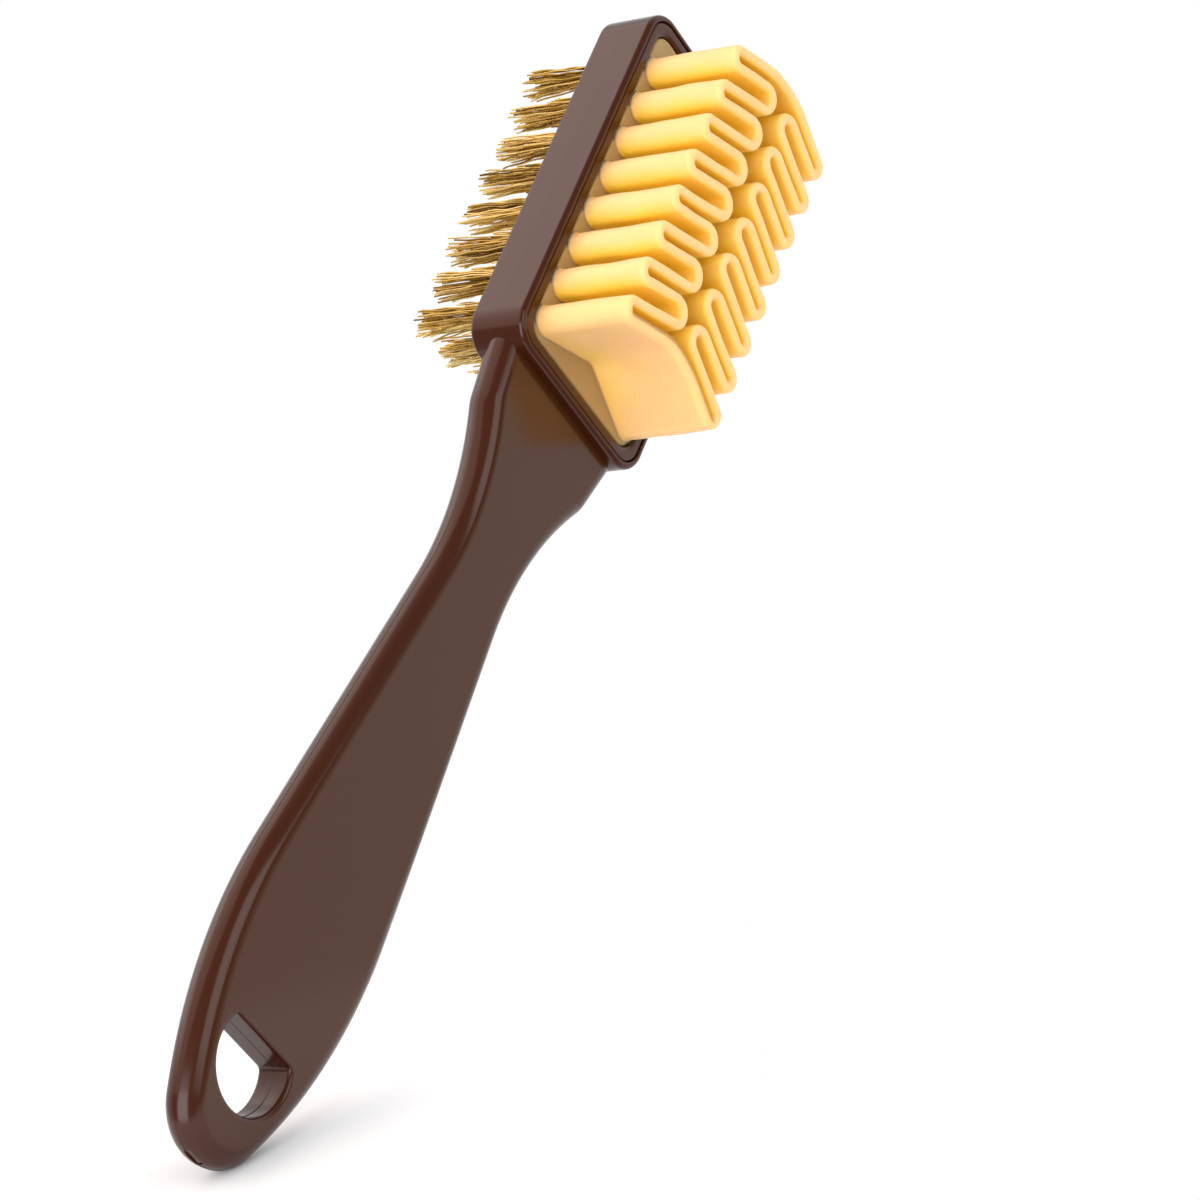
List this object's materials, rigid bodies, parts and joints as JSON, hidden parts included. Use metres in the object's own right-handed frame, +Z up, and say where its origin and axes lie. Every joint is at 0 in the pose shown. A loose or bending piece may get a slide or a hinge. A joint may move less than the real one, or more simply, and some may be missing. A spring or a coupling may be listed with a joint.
{
  "type": "suede brush",
  "caption": "Hand brush for suede: a flat moulded paddle handle with a hanging hole, and a head with a winding crepe rubber block on one side and brass wire tufts on the other.",
  "frame": {"origin": "under the middle of the whole box, on the plane that the trimmed wire tips touch", "axes": "+Z up, from the wire tips to the rubber's crest; +Y along the head, away from the handle; X across the head"},
  "size_m": [0.036, 0.207, 0.0417],
  "materials": {
    "brown_plastic": "satin moulded brown plastic",
    "frame_plastic": "satin moulded brown plastic, a little glossier than the handle",
    "crepe_rubber": "cream crepe rubber, slightly see-through",
    "brass_wire": "bright drawn brass wire",
    "anchor_steel": "plain flat steel strip"
  },
  "bodies": {
    "root": {"handle_body": "brown_plastic", "retaining_frame": "frame_plastic", "rubber_block": "crepe_rubber", "tuft_anchors": "anchor_steel", "tuft_r1c1": "brass_wire", "tuft_r2c1": "brass_wire", "tuft_r3c1": "brass_wire", "tuft_r4c1": "brass_wire", "tuft_r5c1": "brass_wire", "tuft_r6c1": "brass_wire", "tuft_r7c1": "brass_wire", "tuft_r8c1": "brass_wire", "tuft_r1c2": "brass_wire", "tuft_r2c2": "brass_wire", "tuft_r3c2": "brass_wire", "tuft_r4c2": "brass_wire", "tuft_r5c2": "brass_wire", "tuft_r6c2": "brass_wire", "tuft_r7c2": "brass_wire", "tuft_r8c2": "brass_wire", "tuft_r1c3": "brass_wire", "tuft_r2c3": "brass_wire", "tuft_r3c3": "brass_wire", "tuft_r4c3": "brass_wire", "tuft_r5c3": "brass_wire", "tuft_r6c3": "brass_wire", "tuft_r7c3": "brass_wire", "tuft_r8c3": "brass_wire", "tuft_r1c4": "brass_wire", "tuft_r2c4": "brass_wire", "tuft_r3c4": "brass_wire", "tuft_r4c4": "brass_wire", "tuft_r5c4": "brass_wire", "tuft_r6c4": "brass_wire", "tuft_r7c4": "brass_wire", "tuft_r8c4": "brass_wire", "tuft_middle1": "brass_wire", "tuft_middle2": "brass_wire", "tuft_middle3": "brass_wire", "tuft_middle4": "brass_wire", "tuft_middle5": "brass_wire", "tuft_middle6": "brass_wire", "tuft_middle7": "brass_wire"}
  },
  "joints": []
}
